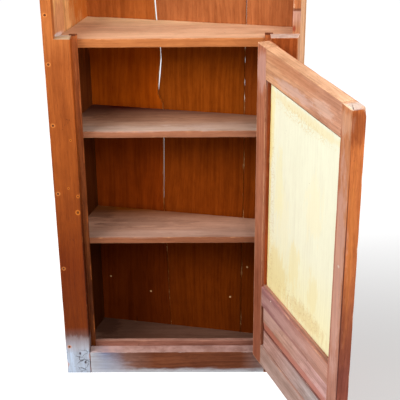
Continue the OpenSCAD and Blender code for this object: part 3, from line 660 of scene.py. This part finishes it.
def level_rings(y, z0, z1, knees=()):
    """Outlines of a level board let into both sides, from the left side to the right:
    each runs from its front to the back. Knees are (share of the way, y of the front)."""
    left = (side_lines[1][0] - groove / math.cos(splay_left), lean_left)
    right = (side_lines[2][0] + groove / math.cos(splay_right), lean_right)
    rings = []
    for share, front_y in knees or ((0.0, y), (1.0, y)):
        ends = ((on_side(left, front_y), on_side(right, front_y)),
                (meets_back(left), meets_back(right)))
        (xa, ya), (xb, yb) = ((1 - share) * np.array(p) + share * np.array(q) for p, q in ends)
        rings.append([(xa, ya, z0), (xb, yb, z0), (xb, yb, z1), (xa, ya, z1)])
    return rings


def on_back(drawn):
    """Turns places drawn along the back (across, outward, up) to where they stand."""
    u, v, z = drawn.T
    cos, sin = math.cos(back_turn), math.sin(back_turn)
    return np.stack((left_corner[0] + u * cos - v * sin, left_corner[1] + u * sin + v * cos, z), 1)


roof_wood = dict(grain="X", wear=(tone(214, 160, 120), 0.6), dust=(grey_dust, 0.7), rough=0.55)
old_board("top_board_plank", level_rings(behind, roof_low, case_top), "top_board",
          "front_wood", aged_wood(
              "top_board_wood", ((-0.3, tone(200, 120, 66)), (0.3, tone(190, 112, 62))), "X",
              heart=(-1.1, 0.1, 0), **roof_wood), seed=11)
old_board("hanging_rail_plank", block(
    (0.0, rail_long), (-rail_deep, 0.0), (rail_low, roof_low), "X"),
    "hanging_rail", "shelf_wood", aged_wood(
        "hanging_rail_wood", ((0.0, tone(200, 130, 84)), (0.52, tone(190, 120, 74))), "X",
        **roof_wood), setting=on_back, seed=12)

# The shelves and the bottom board: planks let into grooves in the sides, their
# grain from side to side. Dust lies pale along their fronts; lower down they darken
# towards the back and in the back left corner, partly dirt and partly painted shade.
# The top shelf's ends reach forward past the stop strips.
shelf_y = 0.028
top_knees = ((0.0, behind), (0.0755, behind), (0.080, shelf_y), (0.9053, shelf_y),
             (0.9135, behind), (1.0, behind))
shelves = {
    "top_shelf": (0.909, 0.022, shelf_y, top_knees, (
        (0.05, tone(226, 180, 143)), (0.12, tone(226, 180, 143)), (0.2, tone(255, 224, 173))),
        tone(193, 115, 57), tone(246, 196, 158), 0.1, 13),
    # The upper and lower shelves go from pale at the front to dark at the back, partly painted
    # shade.
    "upper_shelf": (0.676, 0.017, shelf_y, (), (
        (0.045, tone(196, 165, 143)), (0.11, tone(175, 130, 102)), (0.19, tone(64, 5, 1))),
        tone(172, 109, 77), tone(222, 204, 198), 0.5, 14),
    "lower_shelf": (0.385, 0.017, shelf_y, (), (
        (0.045, tone(183, 142, 122)), (0.11, tone(204, 157, 131)), (0.19, tone(134, 68, 2))),
        tone(154, 92, 59), tone(206, 176, 160), 0.5, 15),
    "bottom_board": (0.028, 0.017, behind, (), (
        (0.045, tone(116, 85, 70)), (0.2, tone(107, 73, 57))),
        tone(120, 76, 60), tone(150, 128, 118), 0.9, 16)}
for node, (top, thick, y, knees, stops, edge, scuff, dirt_and_shade, seed) in shelves.items():
    shelf_wood = aged_wood(
        node + "_wood", stops, "Y", grain="X", heart=(-top - 0.05, 0.13, 0.0), ring=0.011,
        rough=0.6, figure=0.6, sheen=0.12, wear=(tone(210, 150, 108), 0.5),
        coats=[((0.0, y, 0.0), y_way, 0.0025, edge, 0.92)], patches=[
            ((-0.08, 0.045, top), (0.20, 0.03, 0.004), 1.2, scuff, 0.16),
            ((0.12, 0.055, top), (0.18, 0.03, 0.004), 1.2, scuff, 0.12),
            # Darker patches towards the back: partly dirt, partly painted shade in the back left
            # corner.
            ((-0.205, 0.18, top), (0.05, 0.08, 0.01), 1.2, tone(70, 42, 30), dirt_and_shade),
            ((-0.09, 0.11, top), (0.14, 0.035, 0.01), 1.8, tone(90, 56, 42), 0.55 * dirt_and_shade)])
    old_board(node + "_plank", level_rings(y, top - thick, top, knees), node,
              "shelf_wood", shelf_wood, worn=0.003, seed=seed)

# The back: three upright boards, rough and darkened, that have shrunk apart, so
# that light comes through the gaps. The left board's edge is torn below the
# niche, and its foot has split. They are nailed to the shelves' back edges.
back_width, back_t = math.hypot(*back_way), 0.012
left_gap, right_gap = 0.006, 0.003

# Knees of both gaps: the share of the case's height, the share of the back's
# width, and how much of its widest the gap is open there.
left_knees = [
    (0, 0.373, 0.14), (0.24, 0.36, 0.12), (0.32, 0.35, 0.14), (0.36, 0.348, 0.46),
    (0.5, 0.355, 0.5), (0.575, 0.357, 0.46), (0.592, 0.356, 0.46), (0.612, 0.334, 0.3),
    (0.63, 0.337, 0.6), (0.66, 0.344, 0.85), (0.69, 0.351, 0.7), (0.705, 0.35, 0.6),
    (0.755, 0.346, 0.7), (0.777, 0.334, 0.9), (0.82, 0.3285, 1), (1, 0.31, 1)]
right_knees = [
    (0, 0.75, 0.4), (0.145, 0.751, 0.45), (0.26, 0.7535, 0.4), (0.335, 0.757, 0.4),
    (0.52, 0.758, 0.55), (0.6, 0.7565, 0.45), (0.615, 0.7566, 0.74), (0.632, 0.7568, 0.35),
    (0.65, 0.757, 0.8), (0.664, 0.757, 0.35), (0.684, 0.7572, 0.35), (0.698, 0.7575, 0.76),
    (0.712, 0.758, 0.4), (0.73, 0.7585, 0.7), (0.745, 0.759, 0.4), (0.78, 0.761, 0.6),
    (1, 0.768, 0.8)]


def gap_edge(knees, side, widest):
    """Heights and places of one side of a gap between two back boards."""
    z, u, share = np.array(knees).T
    return z * case_top, u * back_width + side * share * widest / 2


def back_rings(left, right):
    """Outlines of a back board, seen from above, at every knee of either edge."""
    heights = np.unique(np.concatenate((left[0], right[0])))
    a, b = (np.interp(heights, *edge) for edge in (left, right))
    return [[(p, 0, z), (q, 0, z), (q, back_t, z), (p, back_t, z)]
            for p, q, z in zip(a, b, heights)]


def outer_edge(line):
    """A back board's straight edge, where a side line meets the back."""
    u = (meets_back(line)[0] - left_corner[0]) / math.cos(back_turn)
    return np.array((0.0, case_top)), np.array((u, u))


compartments = (0.1, 0.37, 0.40, 0.66, 0.69, 0.88, 0.91, 1.1)
low_back, mid_back = tone(123, 53, 9), tone(147, 67, 16)
back_boards = {
    "back_board_left": (outer_edge(side_lines[0]), gap_edge(left_knees, -1, left_gap), (
        tone(112, 45, 8), tone(149, 63, 13), tone(183, 84, 13), tone(190, 107, 49)), 17),
    "back_board_middle": (
        gap_edge(left_knees, 1, left_gap), gap_edge(right_knees, -1, right_gap),
        (low_back, mid_back, tone(158, 77, 18), tone(183, 110, 64)), 18),
    "back_board_right": (gap_edge(right_knees, 1, right_gap), outer_edge(side_lines[3]), (
        low_back, mid_back, tone(159, 76, 23), tone(191, 116, 69)), 19)}
back_nail_rings = [((u, 0.0, z), (0.0035, 0.01, 0.0035), 0.2, tone(220, 172, 120), 0.9)
                   for u, z in ((0.025, 0.166), (0.139, 0.130), (0.363, 0.137), (0.409, 0.236))]
for node, (left, right, colours, seed) in back_boards.items():
    back_wood = aged_wood(
        node + "_wood", [(z, colours[i // 2]) for i, z in enumerate(compartments)],
        heart=(0.03 * seed - 0.4, 0.12, 0), figure=0.8, rough=0.6, sheen=0.0,
        wear=(tone(244, 190, 130), 0.9), coats=[
            ((0.0, back_t, 0.0), y_way, 0.005, tone(190, 160, 134), 0.95),
            ((0.0, 0.5 * back_t, 0.0), y_way, 0.0056, tone(255, 184, 96), 1.0)],
        patches=[((0.0955, 0.006, 0.0), (0.0022, 0.03, 0.06), 0.2, tone(10, 4, 2), 1.0),
                 *back_nail_rings])
    old_board(node + "_plank", back_rings(left, right), node, "back_wood", back_wood,
              setting=on_back, worn=0.0005, uneven=0.0001, seed=seed, soft=0.0004)

# The nails: cut iron nails, punched just below the face of the front and of the
# back boards, with rust round their heads.


def old_metal(name, scale, detail, roughness, mottle, tints, gloss, pits, fixed):
    """Metal under one cloudy noise: while the noise goes through the two values of
    the mottle, the colour goes from the first tint to the second. Roughness eases
    with it, and it pits the face by (strength, depth). Fixed sockets come last."""
    material, tree, end = new_material(name)
    place = put(tree, "TexCoord").outputs["Object"]
    bloom = clouds(tree, place, scale, detail, roughness)[0]
    bump = put(tree, "Bump", inputs={"Strength": pits[0], "Distance": pits[1], "Height": bloom})
    skin = put(tree, "BsdfPrincipled", inputs={
        "Base Color": over(tree, ease(tree, bloom, *mottle), *tints),
        "Roughness": ease(tree, bloom, *gloss), "Normal": bump.outputs[0], **fixed})
    tree.links.new(skin.outputs[0], end.inputs["Surface"])
    return material


rust = old_metal("rusted_iron", 700.0, 4.0, 0.55, (0.35, 0.65),
                 (tone(44, 20, 10), tone(140, 74, 36)), (0.3, 0.7, 0.6, 0.9),
                 (0.4, 0.0004), {"Specular IOR Level": 0.15})
dress("front_nails", rust, 0)
dress("back_nails", rust, 0)

# The door's frame: two stiles and three rails tenoned together, with a rebate
# inside for the panels, drawn shut and then turned on the hinges. The outside
# and the free edge keep their varnish; the inside has faded to a pinkish haze.
hinge = np.array((0.22875, -0.0175))
door_turn = math.radians(111)
door_left, door_right, door_in = -0.2265, 0.2275, 0.014
free_in, hinge_in = -0.1805, 0.1815
foot, low_top, mid_low, mid_top, high_low, head = 0.0675, 0.1255, 0.245, 0.299, 0.842, 0.917
lip_back, lip_w, none, turn_in = -0.004, 0.008, 0.00005, 0.001


def door_open(drawn):
    """Turns places drawn on the closed door about the hinge line to the open door."""
    cos, sin = math.cos(door_turn), math.sin(door_turn)
    x, y = drawn[:, 0] - hinge[0], drawn[:, 1] - hinge[1]
    return np.stack((hinge[0] + x * cos - y * sin, hinge[1] + x * sin + y * cos, drawn[:, 2]), 1)


hung = dict(body="door", setting=door_open)
lay_back = ((0, 0, -door_turn), (
    hinge[0] - hinge[0] * math.cos(door_turn) - hinge[1] * math.sin(door_turn),
    hinge[1] + hinge[0] * math.sin(door_turn) - hinge[1] * math.cos(door_turn), 0))
haze = tone(214, 172, 160)
outside = [((0.0, 0.0, head), z_way, 0.003, tone(244, 192, 150), 0.9),
           ((0.0, front, 0.0), y_way, 0.003, tone(206, 116, 58), 0.95)]
frame_wear = dict(wear=(tone(226, 176, 140), 0.55), rough=0.42, figure=0.85)


def stile_ring(z, lip):
    """Outline of the free stile at a height, with its lip at the front."""
    return [(door_left, front, z), (free_in + lip, front, z), (free_in + lip, lip_back, z),
            (free_in, lip_back, z), (free_in, door_in, z), (door_left, door_in, z)]


low_lip, mid_under = low_top + lip_w, mid_low - lip_w
mid_over, high_lip = mid_top + lip_w, high_low - lip_w
lips = [(foot, none)]
for low, high in ((low_lip, mid_under), (mid_over, high_lip)):
    lips += [(low - turn_in, none), (low, lip_w), (high, lip_w), (high + turn_in, none)]
free_wood = aged_wood(
    "door_free_stile_wood", (
        (0.10, tone(195, 130, 106)), (0.30, tone(195, 130, 106)), (0.55, tone(208, 139, 95)),
        (head, tone(208, 139, 95))),
    heart=(-0.26, 0.1, 0), coats=outside + [
        # The free edge: lighter again near the foot, painted light against the lamps' fall-off
        # there.
        ((door_left, 0.0, 0.0), x_way, 0.003,
         ((0.1, tone(194, 106, 83)), (0.3, tone(145, 76, 62)), (0.6, tone(217, 125, 66))), 0.95)],
    patches=[
        ((-0.2, door_in, 0.55), (0.03, 0.02, 0.32), 0.9, haze, 0.45),
        ((-0.184, door_in, 0.5), (0.004, 0.02, 0.6), 0.6, tone(160, 90, 66), 0.6),
        ((-0.196, door_in, 0.88), (0.05, 0.01, 0.03), 1.3, tone(240, 206, 180), 0.2),
        ((-0.215, 0.0, head), (0.03, 0.05, 0.004), 0.5, tone(206, 190, 180), 0.7),
        ((-0.205, door_in, head - 0.002), (0.03, 0.004, 0.003), 0.6, tone(246, 214, 180), 0.9),
        ((door_left, 0.002, 0.62), (0.0035, 0.008, 0.28), 1.6, tone(226, 140, 66), 0.18),
        ((door_left, 0.0, 0.88), (0.0035, 0.1, 0.05), 0.9, tone(130, 66, 40), 0.5, "MULTIPLY"),
        ((door_left, 0.0, 0.40), (0.0035, 0.1, 0.10), 1.2, tone(150, 90, 60), 0.25, "MULTIPLY"),
        ((door_left, door_in, 0.45), (0.003, 0.003, 0.48), 0.3, tone(84, 34, 20), 0.85)],
    **frame_wear)
old_board("door_free_stile_plank", [stile_ring(z, lip) for z, lip in lips + [(head, none)]],
          "door_free_stile", "door_wood", free_wood, **hung, sharp=(3, 5),
          worn=0.0018, seed=20, chips=[(0.853, 0, 0.009, 0.008)])
dress("door_hinge_stile", aged_wood(
    "door_hinge_stile_wood", ((0.1, tone(195, 125, 94)), (0.9, tone(197, 127, 95))),
    heart=(0.26, 0.1, 0), coats=outside, patches=[
        ((0.2, door_in, 0.15), (0.06, 0.02, 0.3), 0.5, tone(170, 120, 100), 0.5, "MULTIPLY"),
        ((0.2, door_in, 0.86), (0.04, 0.02, 0.06), 0.9, haze, 0.5)],
    cad_box=((hinge_in, front, foot), (door_right, door_in, head)), cad_turn=lay_back,
    **frame_wear))
rails = {
    "door_bottom_rail": ([
        (front, foot), (door_in, foot), (door_in, low_top), (lip_back, low_top),
        (lip_back, low_lip), (front, low_lip)],
        (3,), tone(194, 159, 146), tone(194, 159, 146), 21),
    "door_mid_rail": ([
        (front, mid_under), (lip_back, mid_under), (lip_back, mid_low), (door_in, mid_low),
        (door_in, mid_top), (lip_back, mid_top), (lip_back, mid_over), (front, mid_over)],
        (2, 5), tone(206, 150, 130), tone(179, 128, 125), 22),
    "door_top_rail": ([
        (front, high_lip), (lip_back, high_lip), (lip_back, high_low), (door_in, high_low),
        (door_in, head), (front, head)],
        (2,), tone(223, 166, 136), tone(235, 179, 138), 23)}
for node, (outline, sharp, near_free, near_hinge, seed) in rails.items():
    rail_wood = aged_wood(
        node + "_wood", ((-0.12, near_free), (0.1, near_hinge)), "X", grain="X",
        heart=(-0.1 * seed, 0.12, 0), coats=outside, patches=[
            ((-0.10, door_in, 0.875), (0.06, 0.02, 0.02), 1.7, tone(238, 214, 200), 0.28),
            ((0.03, door_in, 0.862), (0.12, 0.02, 0.016), 1.4, tone(214, 184, 176), 0.45),
            ((0.05, door_in, 0.90), (0.16, 0.02, 0.02), 1.0, tone(190, 116, 78), 0.3),
            ((0.05, door_in, 0.27), (0.2, 0.02, 0.02), 1.0, haze, 0.4),
            ((0.125, door_in, 0.288), (0.0024, 0.02, 0.0024), 0.1, tone(252, 238, 226), 0.9)],
        **frame_wear)
    old_board(node + "_plank", [[(x, y, z) for y, z in outline] for x in (free_in, hinge_in)],
              node, "door_wood", rail_wood, **hung, sharp=sharp, worn=0.002, seed=seed)

# The lower half of the door: a thin panel against the lip, and two boards across
# its inner side that stop short of the hinge stile and leave a slot. The panel's
# inner face is painted near black: painted shade deep in the slot.
slot_edge, board_split, panel_in = 0.1735, 0.1775, 0.003
cross_in, thin_in, thin_edge, taper = 0.011, 0.00925, 0.0075, 0.022
panel_wood = aged_wood(
    "door_lower_panel_wood", ((-0.18, tone(196, 104, 50)), (0.18, tone(188, 98, 46))), "X",
    grain="X", heart=(-0.2, 0.1, 0),
    # Painted shade: the panel's inner face, seen only in the slot, is near black.
    coats=[((0.0, panel_in, 0.0), y_way, 0.003, tone(40, 16, 10), 0.95)])
old_board("door_lower_panel_plank", block(
    (free_in, hinge_in), (lip_back, panel_in), (low_top, mid_low), "X"),
    "door_lower_panel", "plank_wood", panel_wood, **hung, seed=24)
cross_boards = {
    "door_cross_board_upper": ([
        (panel_in, board_split), (thin_edge, board_split), (cross_in, board_split + taper),
        (cross_in, mid_low), (panel_in, mid_low)],
        tone(235, 187, 182), tone(218, 173, 151), -0.25, 25, [
            ((0.0, 0.009, 0.188), (2.0, 0.1, 0.018), 0.3, tone(180, 96, 74), 0.7),
            ((0.13, cross_in, 0.23), (0.08, 0.1, 0.03), 0.9, tone(200, 160, 152), 0.5)]),
    "door_cross_board_lower": ([
        (panel_in, low_top), (thin_in, low_top), (thin_in, board_split),
        (panel_in, board_split)],
        tone(198, 190, 190), tone(212, 168, 156), -0.15, 26, [
            ((0.0, 0.009, board_split), (2.0, 0.1, 0.006), 0.3, tone(110, 50, 40), 0.8)])}
for node, (outline, near_free, near_slot, heart_x, seed, patches) in cross_boards.items():
    cross_wood = aged_wood(
        node + "_wood", ((-0.15, near_free), (0.1, near_slot)), "X", grain="X",
        heart=(heart_x, 0.12, 0), patches=patches, wear=(tone(214, 180, 160), 0.5), rough=0.55)
    old_board(node + "_plank", [[(x, y, z) for y, z in outline] for x in (free_in, slot_edge)],
              node, "plank_wood", cross_wood, **hung, soft=0.0008, worn=0.001, seed=seed)

# The upper panel: a thin board painted cream on the inside, yellowed and stained
# brown along its edges and towards the foot; bare varnish outside.
paint, stain, drip = 0.002, tone(240, 214, 138), tone(222, 180, 96)

# Stains of the paint: x, z, half width, half height, raggedness, colour, amount.
stains = (
    (0.0, 0.815, 0.3, 0.014, 1.0, tone(240, 218, 152), 0.4),
    (0.168, 0.75, 0.02, 0.14, 0.9, tone(250, 232, 150), 0.5),
    (0.176, 0.55, 0.012, 0.4, 0.9, tone(240, 214, 130), 0.7),
    (-0.174, 0.55, 0.007, 0.4, 0.9, stain, 0.6),
    (0.10, 0.52, 0.05, 0.10, 1.4, tone(250, 242, 204), 0.5),
    (-0.06, 0.62, 0.05, 0.09, 1.5, tone(250, 240, 200), 0.5),
    (0.13, 0.36, 0.09, 0.09, 1.3, stain, 0.5),
    (0.03, 0.43, 0.035, 0.08, 1.5, tone(246, 228, 164), 0.45),
    (-0.07, 0.41, 0.03, 0.07, 1.5, tone(244, 224, 158), 0.4),
    (0.12, 0.60, 0.03, 0.12, 1.6, tone(248, 238, 180), 0.4),
    (-0.04, 0.335, 0.12, 0.03, 1.3, drip, 0.3))
cream = aged_wood(
    "cream_paint_on_board", (
        (0.33, tone(255, 246, 197)), (0.5, tone(250, 247, 218)), (0.78, tone(247, 247, 220))),
    figure=0.14, wear=(drip, 0.3), rough=0.42, dents=0.02, relief=0.12,
    coats=[((0.0, lip_back, 0.0), y_way, 0.003, tone(190, 104, 52), 1.0)],
    patches=[((x, paint, z), (wide, 0.004, high), ragged, tint, amount)
             for x, z, wide, high, ragged, tint, amount in stains] + [
        ((-0.08, lip_back, 0.5), (0.16, 0.003, 0.5), 1.8, tone(140, 70, 34), 0.3),
        ((0.09, lip_back, 0.66), (0.14, 0.003, 0.5), 1.8, tone(216, 130, 70), 0.3)],
    crazed=[((0.02, paint, 0.80), (0.18, 0.004, 0.022), 0.010, tone(222, 192, 120), 0.5),
            ((0.0, paint, 0.34), (0.18, 0.004, 0.035), 0.012, tone(206, 164, 96), 0.32),
            ((0.16, paint, 0.5), (0.02, 0.004, 0.3), 0.010, tone(206, 166, 90), 0.4)])
old_board("door_upper_panel_board", block(
    (free_in, hinge_in), (lip_back, paint), (mid_top, high_low)),
    "door_upper_panel", "cream_paint", cream, **hung,
    soft=0.0006, worn=0.0004, seed=27)

# The beads that hold the upper panel: four thin strips pinned round the opening,
# dark along the top, hazed along the foot and varnished brown at both sides.
bead_in, bead_w = 0.008, 0.006
full_width, between = (free_in, hinge_in), (mid_top + bead_w, high_low - bead_w)
for node, x, z, along, shade, seed in (
        ("bead_top", full_width, (between[1], high_low), "X", tone(110, 56, 34), 28),
        ("bead_bottom", full_width, (mid_top, between[0]), "X", tone(200, 150, 128), 29),
        ("bead_hinge_side", (hinge_in - bead_w, hinge_in), between, "Z", tone(170, 80, 34), 30),
        ("bead_free_side", (free_in, free_in + bead_w), between, "Z", tone(180, 104, 70), 31)):
    bead_wood = aged_wood(
        node + "_wood", ((0.3, shade), (0.84, tuple(0.9 * c for c in shade))), grain=along,
        rough=0.45, wear=(tone(214, 150, 100), 0.4))
    old_board(node + "_strip", block(x, (paint, bead_in), z, along), node, "bead_wood",
              bead_wood, **hung, soft=0.0006, worn=0.0006, seed=seed)

# The knob: a low turned button on the door's outside, near its free edge, held
# by a screw from the inner side.
knob_x, knob_z, knob_r, knob_high = -0.2035, 0.561, 0.008, 0.008
knob_profile = (
    (0.72, 0.0), (0.70, 0.10), (0.70, 0.22), (0.80, 0.34), (0.94, 0.46), (0.999, 0.60),
    (0.97, 0.74), (0.86, 0.84), (0.66, 0.915), (0.40, 0.96), (0.12, 0.985))
knob_wood = aged_wood(
    "knob_wood", ((0.5, tone(130, 66, 34)), (0.6, tone(124, 60, 30))), heart=(-0.21, 0.02, 0),
    wear=(tone(196, 124, 76), 0.6), rough=0.35)


def turned_button(name, profile, steps, material, node):
    """A profile of shares (radius, height) turned about the knob's axis, which points
    out of the door: a ring of points for each pair; its top is worn the most."""
    radius, height = np.array(profile).T[:, :, None]
    angle = np.linspace(0, 2 * np.pi, steps, endpoint=False)
    skin = np.stack((knob_x + knob_r * radius * np.cos(angle),
                     front - knob_high * height + 0 * angle,
                     knob_z + knob_r * radius * np.sin(angle)), -1)
    wear = np.where(height > 0.85, 0.9, 0.1) + 0 * angle
    drawn_piece(name, skin, wear, material, "door", node, door_open)


turned_button("turned_knob", knob_profile, 40, knob_wood, "door_knob")

# The two butt hinges and the knob's screw: iron, rusted brown in patches. The
# leaves are let into the stiles, each held by screws.
iron = old_metal("old_hinge_iron", 160.0, 6.0, 0.65, (0.42, 0.66),
                 (tone(112, 108, 104), tone(122, 76, 54)), (0.35, 0.7, 0.42, 0.8),
                 (0.35, 0.0005), {"Metallic": 0.75})
bright = old_metal("worn_screw_head", (900.0, 300.0, 900.0), 4.0, 0.55, (0.3, 0.7),
                   (tone(236, 212, 196), tone(190, 160, 140)), (0.3, 0.7, 0.35, 0.6),
                   (0.2, 0.0003), {"Metallic": 0.3})
dress("knob_screw", bright, 0.0003)
for node in ("hinge_frame_leaf_upper", "hinge_frame_leaf_lower", "hinge_door_leaf_upper",
             "hinge_door_leaf_lower", "hinge_pin_upper", "hinge_pin_lower",
             "hinge_frame_screws", "hinge_door_screws"):
    dress(node, iron, 0.0003)
